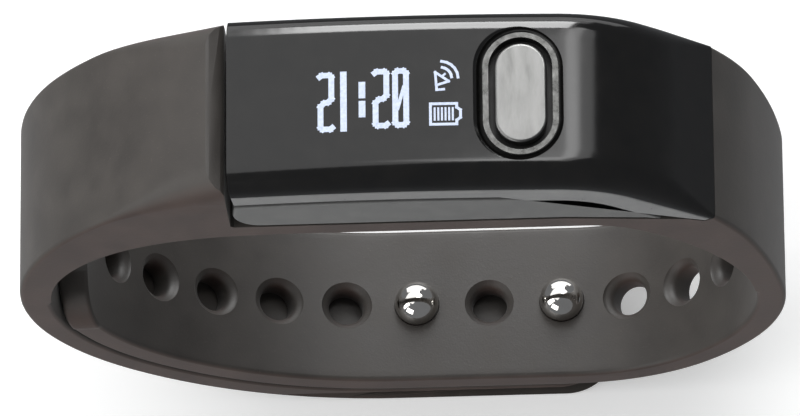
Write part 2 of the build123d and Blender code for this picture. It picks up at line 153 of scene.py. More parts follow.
right_arcs = [CORNER, LOW_RIGHT, SIDE, SHOULDER]
right_start = (FLAT_RIGHT, LAYER + LAYER_GAP)
_, pod_right, slope_heading = trace(right_start, 0, right_arcs)
_, pod_left, top_heading = trace(pod_right, slope_heading, [(0, SLOPE), BEND, TOP])
crown = pod_left[1] + TOP[0] * (1 - cosd(top_heading - 180))
crown_x = pod_left[0] + TOP[0] * sind(top_heading - 180)
pod_under = crown - POD_DEPTH
left_arcs = [(LOW_LEFT[0], -LOW_LEFT[1]), (LEFT[0], -LEFT[1]), (LUG[0], LUG_SHORT - LUG[1])]
left_start = (FLAT_LEFT, 0)
lug_face = pod_left[0] - LUG_GAP
end_corner = (pod_right[0] + POD_END * cosd(slope_heading + 90),
              pod_right[1] + POD_END * sind(slope_heading + 90))
underside = [(15.0, pod_under), (25.5, pod_under - 1.0), end_corner]


def surface_z(x):
    return crown - TOP[0] + math.sqrt(TOP[0] ** 2 - (x - crown_x) ** 2)


# --- solids swept across Y ---
def half_width(z):
    """Half of the strap's width, which narrows towards the clasp."""
    return 7.2 + 0.8 * smooth((z - 6.0) / 38.0)


def with_normals(outline):
    """Fills in inward normals, mitred at corners, where a point has none of its own."""
    count = len(outline)
    area = sum(outline[i - 1][0] * outline[i][1] - outline[i][0] * outline[i - 1][1] for i in range(count))
    turn = 1 if area > 0 else -1
    done = []
    for i, point in enumerate(outline):
        x, z, r, h = point[:4]
        if len(point) > 4:
            nx, nz = point[4:6]
        else:
            normals = []
            for p, q in ((outline[i - 1], point), (point, outline[(i + 1) % count])):
                dx, dz = q[0] - p[0], q[1] - p[1]
                length = math.hypot(dx, dz) or 1.0
                normals.append((-dz / length * turn, dx / length * turn))
            (ax, az), (bx, bz) = normals
            share = max(0.35, 1 + ax * bx + az * bz)
            nx, nz = (ax + bx) / share, (az + bz) / share
        done.append((x, z, r, h, nx, nz))
    return done


def prism(name, outline, rounds=4, across=8):
    """Closed mesh of an XZ outline of (x, z, edge radius, half width[, normal]) swept across Y."""
    outline = with_normals(outline)
    count = len(outline)
    levels = [(1 - sind(90 * k / rounds), 1 - cosd(90 * k / rounds)) for k in range(rounds + 1)]
    rings = []
    for sign in (1, -1):
        part = []
        for inset, drop in levels:
            part.append([(x + nx * r * inset, sign * (h - r * drop), z + nz * r * inset)
                         for x, z, r, h, nx, nz in outline])
        rings.append(part)
    middle = []
    for k in range(1, across):
        share = 1 - 2 * k / across
        middle.append([(x, share * (h - r), z) for x, z, r, h, nx, nz in outline])
    order = rings[0] + middle + rings[1][::-1]
    verts = [p for ring in order for p in ring]
    faces = []
    for k in range(len(order) - 1):
        for i in range(count):
            j = (i + 1) % count
            faces.append((k * count + i, k * count + j, (k + 1) * count + j, (k + 1) * count + i))
    cap = tessellate_polygon([[Vector((p[0], p[2], 0)) for p in order[0]]])
    last = (len(order) - 1) * count
    for a, b, c in cap:
        faces.append((a, b, c))
        faces.append((last + c, last + b, last + a))
    mesh = bpy.data.meshes.new(name)
    mesh.from_pydata(verts, [], faces)
    return solid(name, mesh)


def solid(name, mesh):
    """An object of a mesh, with its faces turned outward."""
    piece = bpy.data.objects.new(name, mesh)
    bpy.context.scene.collection.objects.link(piece)
    set_outward(mesh)
    return piece


def set_outward(mesh, near=1e-4):
    """Joins doubled points and turns every face outward."""
    shape = bmesh.new()
    shape.from_mesh(mesh)
    bmesh.ops.remove_doubles(shape, verts=shape.verts, dist=near)
    bmesh.ops.dissolve_degenerate(shape, edges=shape.edges, dist=near)
    bmesh.ops.recalc_face_normals(shape, faces=shape.faces)
    shape.to_mesh(mesh)
    shape.free()


def loops_mesh(name, loops, closed=False):
    """Closed mesh of stacked loops with the same number of points, in mm."""
    count = len(loops[0])
    verts = [p for loop in loops for p in loop]
    faces = []
    spans = len(loops) if closed else len(loops) - 1
    for k in range(spans):
        a, b = k * count, (k + 1) % len(loops) * count
        for i in range(count):
            j = (i + 1) % count
            faces.append((a + i, a + j, b + j, b + i))
    if not closed:
        faces.append(tuple(range(count)))
        faces.append(tuple(reversed(range((len(loops) - 1) * count, len(loops) * count))))
    mesh = bpy.data.meshes.new(name)
    mesh.from_pydata(verts, [], faces)
    return solid(name, mesh)


def lathe(name, profile, place, heading, segments=48):
    """Turned solid about the strap's normal; profile points are (height inward, radius)."""
    loops = []
    nx, nz = -sind(heading), cosd(heading)
    tx, tz = cosd(heading), sind(heading)
    for height, radius in profile:
        loop = []
        for k in range(segments):
            c, s = cosd(360 * k / segments), sind(360 * k / segments)
            x = place[0] + nx * height + tx * radius * c
            z = place[1] + nz * height + tz * radius * c
            loop.append((x, radius * s, z))
        loops.append(loop)
    return loops_mesh(name, loops)


def stadium_loop(size, inset, z, x0, arc=16):
    """Loop of a slug that is round at both ends of its length along Y."""
    r = size[0] / 2 - inset
    reach = size[1] / 2 - size[0] / 2
    loop = []
    for k in range(arc + 1):
        loop.append((x0 + r * cosd(180 * k / arc), reach + r * sind(180 * k / arc), z))
    for k in range(arc + 1):
        loop.append((x0 - r * cosd(180 * k / arc), -reach - r * sind(180 * k / arc), z))
    return loop


def apply_modifiers(piece):
    graph = bpy.context.evaluated_depsgraph_get()
    graph.update()
    mesh = bpy.data.meshes.new_from_object(piece.evaluated_get(graph))
    old = piece.data
    piece.modifiers.clear()
    piece.data = mesh
    bpy.data.meshes.remove(old)


def smooth_faces(mesh, angle):
    for polygon in mesh.polygons:
        polygon.use_smooth = True
    mesh.set_sharp_from_angle(angle=math.radians(angle))


def shade(piece, angle=35.0):
    """Smooth shading with sharp edges kept and wide faces flat."""
    smooth_faces(piece.data, angle)
    step = piece.modifiers.new("weighted", "WEIGHTED_NORMAL")
    step.keep_sharp = True
    step.weight = 50
    return piece


def cut(piece, tools, angle=35.0):
    """Takes the tools' solids out of a piece; what is left of its surface keeps its shading."""
    whole = bpy.data.objects.new("whole", piece.data.copy())
    bpy.context.scene.collection.objects.link(whole)
    shade(whole, angle)
    for tool in tools:
        step = piece.modifiers.new("cut", "BOOLEAN")
        step.operation = "DIFFERENCE"
        step.solver = "EXACT"
        step.object = tool
    bpy.context.view_layer.update()
    apply_modifiers(piece)
    apply_modifiers(whole)
    set_outward(piece.data, 0.004)
    smooth_faces(piece.data, angle)
    keep_shading(piece.data, whole.data)
    for spare in (whole, *tools):
        bpy.data.objects.remove(spare)
    return piece


def keep_shading(mesh, whole):
    """Copies corner normals from the uncut surface wherever a face still lies on it."""
    points = [v.co.copy() for v in whole.vertices]
    faces = [tuple(p.vertices) for p in whole.polygons]
    flats = [p.normal.copy() for p in whole.polygons]
    corners = [c.vector.copy() for c in whole.corner_normals]
    firsts = [p.loop_start for p in whole.polygons]
    tree = BVHTree.FromPolygons(points, faces)
    normals = [c.vector.copy() for c in mesh.corner_normals]
    for polygon in mesh.polygons:
        _, _, index, apart = tree.find_nearest(polygon.center)
        if index is None or apart > 0.02 or polygon.normal.dot(flats[index]) < 0.98:
            continue
        for loop in polygon.loop_indices:
            co = mesh.vertices[mesh.loops[loop].vertex_index].co
            spot, _, near, apart = tree.find_nearest(co.lerp(polygon.center, 0.02))
            if flats[near].dot(flats[index]) < 0.9:
                near, spot = index, co
            shares = poly_3d_calc([points[v] for v in faces[near]], spot)
            total = sum((corners[firsts[near] + k] * share for k, share in enumerate(shares)), Vector())
            if total.length > 0.2:
                normals[loop] = total.normalized()
    mesh.normals_split_custom_set(normals)


# --- materials ---
def new_material(name):
    material = bpy.data.materials.new(name)
    material.use_nodes = True
    tree = material.node_tree
    tree.nodes.clear()
    out = tree.nodes.new("ShaderNodeOutputMaterial")
    shader = tree.nodes.new("ShaderNodeBsdfPrincipled")
    tree.links.new(shader.outputs[0], out.inputs[0])
    place = tree.nodes.new("ShaderNodeTexCoord")
    return material, tree, shader, place


def noise(tree, place, scale, detail=3.0, rough=0.6, stretch=None):
    node = tree.nodes.new("ShaderNodeTexNoise")
    node.inputs["Scale"].default_value = scale
    node.inputs["Detail"].default_value = detail
    node.inputs["Roughness"].default_value = rough
    if stretch is None:
        tree.links.new(place.outputs["Object"], node.inputs["Vector"])
    else:
        mapping = tree.nodes.new("ShaderNodeMapping")
        mapping.inputs["Scale"].default_value = stretch
        tree.links.new(place.outputs["Object"], mapping.inputs["Vector"])
        tree.links.new(mapping.outputs[0], node.inputs["Vector"])
    return node


def ramp(tree, source, stops):
    node = tree.nodes.new("ShaderNodeValToRGB")
    elements = node.color_ramp.elements
    while len(elements) < len(stops):
        elements.new(0.5)
    for element, (position, colour) in zip(elements, stops):
        element.position = position
        element.color = (*colour, 1) if isinstance(colour, tuple) else (colour, colour, colour, 1)
    tree.links.new(source, node.inputs[0])
    return node


def finish_material(name, dark, light, rough, metallic=0.0, scale=900.0, grain=4000.0, bump=0.02,
                    stretch=None, coat=0.0, specular=0.5, sheen=0.0, spread=0.06):
    """Moulded or machined finish: mottled colour, uneven roughness and a fine grain."""
    material, tree, shader, place = new_material(name)
    blotch = noise(tree, place, scale, 4.0, 0.6, stretch)
    colour = ramp(tree, blotch.outputs[0], [(0.3, dark), (0.7, light)])
    tree.links.new(colour.outputs[0], shader.inputs["Base Color"])
    uneven = ramp(tree, blotch.outputs[0], [(0.25, rough - spread), (0.75, rough + spread)])
    tree.links.new(uneven.outputs[0], shader.inputs["Roughness"])
    fine = noise(tree, place, grain, 2.0, 0.7, stretch)
    relief = tree.nodes.new("ShaderNodeBump")
    relief.inputs["Strength"].default_value = 0.35
    relief.inputs["Distance"].default_value = bump * MM
    tree.links.new(fine.outputs[0], relief.inputs["Height"])
    tree.links.new(relief.outputs[0], shader.inputs["Normal"])
    shader.inputs["Metallic"].default_value = metallic
    shader.inputs["Specular IOR Level"].default_value = specular
    if coat:
        shader.inputs["Coat Weight"].default_value = coat
        shader.inputs["Coat Roughness"].default_value = 0.04
    if sheen:
        shader.inputs["Sheen Weight"].default_value = sheen
        shader.inputs["Sheen Roughness"].default_value = 0.5
    return material


def rubber_material():
    """Matt moulded silicone: warm grey-brown with fine mottle, pale specks and a soft grain."""
    material, tree, shader, place = new_material("strap_rubber")
    blotch = noise(tree, place, 260.0, 5.0, 0.55)
    colour = ramp(tree, blotch.outputs[0], [(0.3, (0.036, 0.031, 0.027)), (0.7, (0.052, 0.045, 0.039))])
    fine = noise(tree, place, 5200.0, 2.0, 0.6)
    speck = ramp(tree, fine.outputs[0], [(0.66, 0.0), (0.76, 1.0)])
    mix = tree.nodes.new("ShaderNodeMix")
    mix.data_type = "RGBA"
    share = tree.nodes.new("ShaderNodeMath")
    share.operation = "MULTIPLY"
    share.inputs[1].default_value = 0.35
    tree.links.new(speck.outputs[0], share.inputs[0])
    tree.links.new(share.outputs[0], mix.inputs[0])
    tree.links.new(colour.outputs[0], mix.inputs[6])
    mix.inputs[7].default_value = (0.12, 0.10, 0.085, 1)
    apart = tree.nodes.new("ShaderNodeSeparateXYZ")
    tree.links.new(place.outputs["Normal"], apart.inputs[0])
    across = tree.nodes.new("ShaderNodeMath")
    across.operation = "ABSOLUTE"
    tree.links.new(apart.outputs[1], across.inputs[0])
    edge = ramp(tree, across.outputs[0], [(0.45, 0.0), (0.95, 1.0)])
    rim = tree.nodes.new("ShaderNodeMix")
    rim.data_type = "RGBA"
    rim.blend_type = "MULTIPLY"
    tree.links.new(edge.outputs[0], rim.inputs[0])
    tree.links.new(mix.outputs[2], rim.inputs[6])
    rim.inputs[7].default_value = (1.25, 0.92, 0.86, 1)
    tree.links.new(rim.outputs[2], shader.inputs["Base Color"])
    uneven = ramp(tree, blotch.outputs[0], [(0.25, 0.5), (0.75, 0.62)])
    tree.links.new(uneven.outputs[0], shader.inputs["Roughness"])
    coarse = noise(tree, place, 1500.0, 3.0, 0.6)
    total = tree.nodes.new("ShaderNodeMath")
    total.operation = "ADD"
    tree.links.new(coarse.outputs[0], total.inputs[0])
    tree.links.new(fine.outputs[0], total.inputs[1])
    relief = tree.nodes.new("ShaderNodeBump")
    relief.inputs["Strength"].default_value = 0.3
    relief.inputs["Distance"].default_value = 0.03 * MM
    tree.links.new(total.outputs[0], relief.inputs["Height"])
    tree.links.new(relief.outputs[0], shader.inputs["Normal"])
    shader.inputs["Specular IOR Level"].default_value = 0.45
    shader.inputs["Sheen Weight"].default_value = 0.12
    shader.inputs["Sheen Roughness"].default_value = 0.45
    return material


def glow_material():
    """Lit display dots: pale blue-white with a faint dot grid."""
    material, tree, shader, place = new_material("display_dots")
    grid = noise(tree, place, 4200.0, 1.0, 0.5)
    colour = ramp(tree, grid.outputs[0], [(0.3, (0.40, 0.46, 0.60)), (0.7, (0.50, 0.56, 0.70))])
    tree.links.new(colour.outputs[0], shader.inputs["Base Color"])
    tree.links.new(colour.outputs[0], shader.inputs["Emission Color"])
    shader.inputs["Emission Strength"].default_value = 0.5
    shader.inputs["Roughness"].default_value = 0.5
    return material


rubber = rubber_material()
chrome = finish_material("stud_chrome", (0.68, 0.66, 0.63), (0.74, 0.72, 0.69), 0.07, 1.0, 700,
                         2500, 0.002, spread=0.02)
black_gloss = finish_material("cover_black", (0.005, 0.005, 0.005), (0.008, 0.0075, 0.007), 0.12,
                              0.0,
                              500, 1800, 0.001, specular=0.45, spread=0.02)
band_grey = finish_material("band_grey", (0.21, 0.21, 0.21), (0.25, 0.25, 0.245), 0.32, 0.1, 800,
                            4500, 0.01)
housing_grey = finish_material("housing_grey", (0.13, 0.13, 0.128), (0.16, 0.16, 0.155), 0.42, 0.0,
                               700, 4500, 0.015)
seal_black = finish_material("seal_black", (0.008, 0.008, 0.008), (0.014, 0.013, 0.012), 0.7, 0.0,
                             800, 4000, 0.01)
cap_metal = finish_material("cap_metal", (0.125, 0.125, 0.122), (0.165, 0.165, 0.162), 0.36, 1.0,
                            420, 2200, 0.008,
                            stretch=(3.0, 0.7, 1.0), spread=0.08)
bezel_metal = finish_material("bezel_silver", (0.055, 0.055, 0.053), (0.12, 0.12, 0.117), 0.3, 1.0,
                              1500, 2600, 0.03)
steel = finish_material("clasp_steel", (0.42, 0.41, 0.40), (0.52, 0.51, 0.50), 0.28, 1.0, 500,
                        1800, 0.01,
                        stretch=(0.08, 1.0, 1.0))
dark_steel = finish_material("screw_steel", (0.10, 0.10, 0.10), (0.16, 0.16, 0.155), 0.35, 1.0,
                             1200, 3000, 0.01)
chip_black = finish_material("chip_black", (0.012, 0.012, 0.013), (0.022, 0.022, 0.023), 0.55, 0.0,
                             2500, 9000, 0.01)
nylon = finish_material("nylon_white", (0.62, 0.60, 0.55), (0.72, 0.70, 0.66), 0.5, 0.0, 1500,
                        5000, 0.01)
panel_glass = finish_material("display_glass", (0.010, 0.012, 0.016), (0.016, 0.018, 0.024), 0.06,
                              0.0, 400, 2000,
                              0.001, coat=1.0, spread=0.02)
frame_black = finish_material("frame_black", (0.012, 0.012, 0.012), (0.02, 0.02, 0.02), 0.6, 0.0,
                              900, 5000, 0.012)
flex_amber = finish_material("flex_amber", (0.30, 0.12, 0.02), (0.42, 0.18, 0.035), 0.35, 0.0,
                             1500, 5000, 0.004)
board_green = finish_material("board_green", (0.006, 0.055, 0.02), (0.012, 0.085, 0.03), 0.35, 0.0,
                              1800, 3500, 0.02,
                              coat=0.3)
cell_foil = finish_material("cell_foil", (0.50, 0.50, 0.51), (0.64, 0.64, 0.65), 0.33, 1.0, 350,
                            1300, 0.05)
weight_grey = finish_material("weight_grey", (0.16, 0.155, 0.15), (0.24, 0.235, 0.23), 0.5, 1.0,
                              2500, 7000, 0.02)
gold = finish_material("contact_gold", (0.62, 0.42, 0.13), (0.75, 0.53, 0.19), 0.22, 1.0, 1500,
                       4000, 0.004)
dots = glow_material()


def dress(piece, material, body):
    """Gives a new piece its material and its body, in metres."""
    piece.data.transform(Matrix.Scale(MM, 4))
    piece.data.materials.clear()
    piece.data.materials.append(material)
    if body:
        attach(piece, body)
    return piece


# --- strap ---
def line_points(points, side=1, r=RIM, tip=None, corner=0.0):
    """Outline points of a traced line whose solid lies to its right (side 1) or left (-1);
    near a tip the width follows the tip's round corners."""
    result = []
    walked = 0.0
    for i, (x, z, a) in enumerate(points):
        if i:
            walked += math.hypot(x - points[i - 1][0], z - points[i - 1][1])
        h = half_width(z)
        if tip is not None and walked < corner:
            h = tip - corner + math.sqrt(max(0.0, corner ** 2 - (corner - walked) ** 2))
        result.append((x, z, r, h, side * sind(a), -side * cosd(a)))
    return result


def tail_line():
    """The hole tail's run: place and heading of its tip, and its arcs to the right corner."""
    to_left = [(0, FLAT_RIGHT - FLAT_LEFT), *left_arcs[:2]]
    last = FLAT_RIGHT - MIDDLE_HOLE + 6 * PITCH
    place, heading = along((FLAT_RIGHT, 0), 180, to_left, last + TIP_MARGIN, 1.5 * LAYER)
    heading -= 180
    return place, heading, [(LEFT[0], -heading - LOW_LEFT[1]), LOW_LEFT, (0, FLAT_RIGHT - FLAT_LEFT)]


def hole_places():
    """Each hole's place on the hole tail's outer face, with the heading there."""
    middle = (MIDDLE_HOLE, LAYER + LAYER_GAP)
    places = [(middle, 0)]
    to_right = [(0, FLAT_RIGHT - MIDDLE_HOLE), *right_arcs]
    to_left = [(0, MIDDLE_HOLE - FLAT_LEFT), *left_arcs]
    for k in range(1, 5):
        places.append(along(middle, 0, to_right, k * PITCH, -LAYER / 2))
    for k in range(1, 7):
        (x, z), heading = along((MIDDLE_HOLE, 0), 180, to_left, k * PITCH, 1.5 * LAYER + LAYER_GAP)
        shift = LAYER + LAYER_GAP
        place = (x + shift * cosd(heading - 90), z + shift * sind(heading - 90))
        places.append((place, heading - 180))
    return places


def hole_tools():
    """Cutters: an open hole has a dished mouth, and a used one fits the ball that sits in it."""
    tools = []
    plain = [(-0.35, 1.95), (0.0, 1.75), (0.15, 1.64), (0.35, 1.6), (1.75, 1.6), (2.0, 1.66), (2.2, 1.77),
             (2.38, 1.95), (2.5, 2.12), (2.62, 2.26), (2.8, 2.36), (3.8, 2.5)]
    centre, ball = LAYER + 0.35, 2.03
    used = [(-0.35, 1.6), (1.7, 1.6)]
    for height in (1.8, 1.95, 2.1, 2.25, 2.4, 2.5):
        used.append((height, math.sqrt(ball ** 2 - (centre - height) ** 2)))
    used += [(2.6, 2.06), (2.75, 2.14), (3.8, 2.3)]
    for (x, z), heading in hole_places():
        studded = min(abs(x - MIDDLE_HOLE + PITCH), abs(x - MIDDLE_HOLE - PITCH)) < 0.4
        tools.append(lathe("tool", used if studded else plain, (x, z), heading, 40))
    return tools


def strap_outline():
    place, heading, arcs = tail_line()
    tip_half = half_width(place[1])
    out_tail, _, _ = trace(place, heading, arcs, -LAYER - LAYER_GAP)
    in_tail, _, _ = trace(place, heading, arcs, -2 * LAYER - LAYER_GAP)
    outline = line_points(out_tail, -1, RIM, tip_half, HOLE_TIP_CORNER)
    right_out, _, _ = trace(right_start, 0, right_arcs + [(0, 4.0)])
    outline += line_points(right_out[1:], -1)
    for x in (22.0, 16.0, 10.0, 4.0, -2.0, -8.0):
        outline.append((x, 52.0, 0.3, HALF, 0.0, -1.0))
    # lug: its long shoulders fade away from the pod
    _, join, join_heading = trace(left_start, 180, [left_arcs[0], (LEFT[0], -JOIN_TURN)])
    up = [(LEFT[0], JOIN_TURN - LEFT[1]), left_arcs[2]]
    left_out, top, top_turn = trace(join, join_heading, up)
    left_out += trace(top, top_turn, [(0, 4.0)])[0][1:]
    lug = []
    walked = -4.0
    for i, (x, z, a) in enumerate(reversed(left_out)):
        if i:
            walked += math.hypot(x - last[0], z - last[1])
        last = (x, z)
        r = RIM + (LUG_R - RIM) * (1 - smooth(walked / LUG_FADE))
        lug.append((x, z, r, half_width(z), sind(a), -cosd(a)))
    outline.append((lug[0][0], 52.0, 0.3, HALF, 0.0, -1.0))
    outline.append((lug[0][0], lug[0][1] - 4.5, 0.3, HALF, -1.0, 0.0))
    outline += lug
    # wrist side
    left_in, _, _ = trace(join, join_heading, up[:1], LAYER)
    share = math.radians(LEFT[1] - LUG_SHARE - JOIN_TURN) * LEFT[0]
    kept = [p for p in left_in if p[2] > 180 - LOW_LEFT[1] - LEFT[1] + LUG_SHARE - 0.01]
    outline += line_points(kept, -1)
    at_side, _ = along(join, join_heading, up, share, 0)
    inner_low, _, _ = trace(right_start, 0, right_arcs[:2], -LAYER)
    foot = inner_low[-1]
    wrist_right, floor_end, _ = trace(foot[:2], 95, WRIST_RIGHT)
    left_x = at_side[0] + LAYER
    reach = floor_end[1] - at_side[1]
    easy_r, easy_turn = WRIST_LEFT
    tight_r = (reach - easy_r * (1 - cosd(easy_turn))) / cosd(easy_turn)
    start_x = left_x + easy_r * sind(easy_turn) + tight_r * (1 - sind(easy_turn))
    floor_left, _, _ = trace((start_x, floor_end[1]), 180, [WRIST_LEFT, (tight_r, 90 - easy_turn)])
    outline += line_points(floor_left[::-1][1:], -1, FLOOR_RIM)
    count = round((floor_end[0] - start_x) / 2.0)
    for k in range(1, count):
        x = start_x + (floor_end[0] - start_x) * k / count
        outline.append((x, floor_end[1], FLOOR_RIM, HALF, 0.0, 1.0))
    outline += line_points(wrist_right[::-1], 1, FLOOR_RIM)
    outline += line_points(inner_low[::-1][1:], 1)
    inner = line_points(in_tail, 1, RIM, tip_half, HOLE_TIP_CORNER)
    outline += inner[::-1][1:]
    return outline


def cradle_tool():
    """Cutter for the open-sided cradle, whose end face has a bevel with soft edges."""
    bevel = (lug_face, trace(left_start, 180, left_arcs)[1][1] - LUG_BEVEL)
    top = trace(left_start, 180, left_arcs)[1]
    way = (top[0] - bevel[0], top[1] - bevel[1])
    points = [(x, z - CRADLE_GAP) for x, z in reversed(underside)]
    points += [(lug_face + 0.3, pod_under - CRADLE_GAP)]
    points += [(lug_face, pod_under + 0.2), (lug_face, bevel[1] - 0.25)]
    points += [(bevel[0] + way[0] * 0.2, bevel[1] + way[1] * 0.2)]
    points += [(bevel[0] + way[0] * 0.85, bevel[1] + way[1] * 0.85), (top[0] - 0.5, top[1] + 0.05)]
    points += [(top[0] - 4, top[1] + 4), (32, top[1] + 4)]
    points += [(pod_right[0] + 3 * cosd(slope_heading - 90), pod_right[1] + 3 * sind(slope_heading - 90))]
    return prism("tool", [(x, z, 0.0, 9.5) for x, z in points], 1, 2)


def make_strap():
    strap = prism("strap", strap_outline(), across=26)
    cut(strap, [cradle_tool(), *hole_tools()])
    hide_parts("strap_body")
    return dress(strap, rubber, "strap")


def make_tail():
    """The stud tail with the lower left side."""
    to_join = [left_arcs[0], (LEFT[0], -JOIN_TURN)]
    out_left, _, _ = trace(left_start, 180, to_join)
    in_left, _, _ = trace(left_start, 180, to_join, LAYER)
    follow = (CORNER[0] + LAYER + LAYER_GAP, TIP_TURN)
    run = [(0, FLAT_RIGHT - FLAT_LEFT), follow]
    out_right, _, _ = trace(left_start, 0, run)
    in_right, _, _ = trace(left_start, 0, run, -LAYER)
    tip = half_width(0)
    outline = line_points(out_right[::-1], -1, RIM, tip, TIP_CORNER) + line_points(out_left[1:], 1)
    outline += line_points(in_left[::-1], -1)
    outline += line_points(in_right[::-1], 1, RIM, tip, TIP_CORNER)[::-1][1:]
    tail = prism("stud_strap", outline, across=10)
    low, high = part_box("clasp_plate")
    size = ((high.y - low.y) / MM, (high.x - low.x) / MM)
    tools = [pocket_tool(low, high)]
    for x in (MIDDLE_HOLE - PITCH, MIDDLE_HOLE + PITCH):
        tools.append(lathe("tool", [(0.5, 2.22), (1.32, 2.22), (1.33, 1.27), (3.2, 1.27)], (x, 0), 0, 32))
    cut(tail, tools)
    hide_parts("stud_tail")
    dress(tail, rubber, None)
    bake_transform(tail)
    return tail


def pocket_tool(low, high):
    """Cutter for the shallow pocket that the clasp plate lies in."""
    cx, cy = (low.x + high.x) / 2 / MM, 0.0
    half_x, half_y = (high.x - low.x) / 2 / MM + 0.02, (high.y - low.y) / 2 / MM + 0.02
    r = 2.0
    loop = []
    for qx, qy, start in ((1, 1, 0), (-1, 1, 90), (-1, -1, 180), (1, -1, 270)):
        for k in range(9):
            a = start + 90 * k / 8
            loop.append((cx + qx * (half_x - r) + r * cosd(a), cy + qy * (half_y - r) + r * sind(a)))
    return loops_mesh("tool", [[(x, y, -1.0) for x, y in loop], [(x, y, high.z / MM) for x, y in loop]])


def make_studs():
    """Ball studs turned from one piece each, joined as the clasp's pair."""
    inner = 2 * LAYER + LAYER_GAP
    centre = inner + 0.35
    meshes = []
    for x in (MIDDLE_HOLE - PITCH, MIDDLE_HOLE + PITCH):
        profile = [(0.8, 0.3), (0.8, 2.1), (0.9, 2.2), (1.2, 2.2), (1.3, 2.1), (1.3, 1.25)]
        first = -math.degrees(math.acos(1.25 / 2.0))
        for k in range(33):
            a = first + (88.5 - first) * k / 32
            profile.append((centre + 2.0 * sind(a), 2.0 * cosd(a)))
        meshes.append(lathe("ball_stud", profile, (x, 0), 0, 64))
    first, second = meshes
    both = bmesh.new()
    both.from_mesh(first.data)
    both.from_mesh(second.data)
    both.to_mesh(first.data)
    both.free()
    bpy.data.objects.remove(second)
    first.name = "ball_studs"
    shade(first, 30)
    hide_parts("clasp_studs")
    return dress(first, chrome, "clasp")


# --- pod ---
def seam(depth):
    """Seam line from the pod's left end towards its thin end."""
    arcs = [(TOP[0], -TOP[1]), (BEND[0], -SPLIT_TURN), (0, 12.0)]
    points, _, _ = trace(pod_left, top_heading - 180, arcs, depth)
    return points


def plain(points, r, h=HALF):
    return [(p[0], p[1], r, h) for p in points]


def inner_space():
    """Cutter for the hollow inside the pod."""
    top, _, _ = trace(pod_left, top_heading - 180, [(TOP[0], -TOP[1]), (BEND[0], -BEND[1]), (0, 3.7)], WALL)
    top = [p for p in top if p[0] < SPACE_RIGHT]
    left = pod_left[0] + WALL
    floor = pod_under + WALL
    drop = (SPACE_RIGHT - underside[0][0]) / (underside[1][0] - underside[0][0])
    points = [(left, top[0][1])] + [(p[0], p[1]) for p in top if p[0] > left]
    points += [(SPACE_RIGHT, points[-1][1] - 0.2), (SPACE_RIGHT, floor - drop), (underside[0][0], floor)]
    r = POD_CORNER - WALL
    for k in range(7):
        a = 270 - 90 * k / 6
        points.append((left + r + r * cosd(a), floor + r + r * sind(a)))
    return prism("tool", [(x, z, 0.0, HALF - WALL) for x, z in points], 1, 2)


def make_cover():
    """Gloss cover: long shoulders that sharpen along the slope, and the button's trough."""
    arcs = [(TOP[0], -TOP[1]), (BEND[0], -BEND[1]), (0, SLOPE)]
    top, _, _ = trace(pod_left, top_heading - 180, arcs, 0, 0.3)
    knee = math.radians(TOP[1]) * TOP[0] + math.radians(BEND[1]) * BEND[0]
    low = crossing(seam(COVER_DEPTH), pod_right, end_corner)
    outline = []
    walked = 0.0
    for i, (x, z, a) in enumerate(top):
        if i:
            walked += math.hypot(x - top[i - 1][0], z - top[i - 1][1])
        share = max(0.0, (walked - knee) / SLOPE)
        room = min(math.dist((x, z), p[:2]) for p in low) - 0.25
        r = max(0.1, min(room, SHOULDER_R + (SHOULDER_END_R - SHOULDER_R) * share))
        outline.append((x, z, r, HALF, sind(a), -cosd(a)))
    outline += plain(low[::-1], 0.12)
    cover = prism("cover_shell", outline, 10, 16)
    top_z = surface_z(BUTTON_X)
    profile = [(0.5, -0.6), (0.45, -0.45), (0.2, -0.42), (0.05, -0.3), (-0.02, -0.12), (-0.12, 0.02),
               (-0.35, 0.16), (-0.8, 0.9)]
    deep = [(0.46, -4.0), (0.46, 0.5)]
    trough = loops_mesh("tool", [stadium_loop(TROUGH, d, top_z + z, BUTTON_X, 24) for d, z in profile[1:]])
    well = loops_mesh("tool", [stadium_loop(TROUGH, d, top_z + z, BUTTON_X, 24) for d, z in deep])
    cut(cover, [inner_space(), trough, well], 32)
    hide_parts("cover")
    return dress(cover, black_gloss, "pod")


def make_band():
    """Light strip between the cover and the seal."""
    upper = crossing(seam(COVER_DEPTH + 0.05), pod_right, end_corner)
    lower = crossing(seam(COVER_DEPTH + BAND), underside[1], end_corner)
    outline = plain(upper, 0.14) + [(*end_corner, 0.14, HALF)] + plain(lower[::-1], 0.14)
    band = prism("side_strip", outline, 3, 4)
    cut(band, [inner_space()], 32)
    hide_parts("side_band")
    return dress(band, band_grey, "pod")


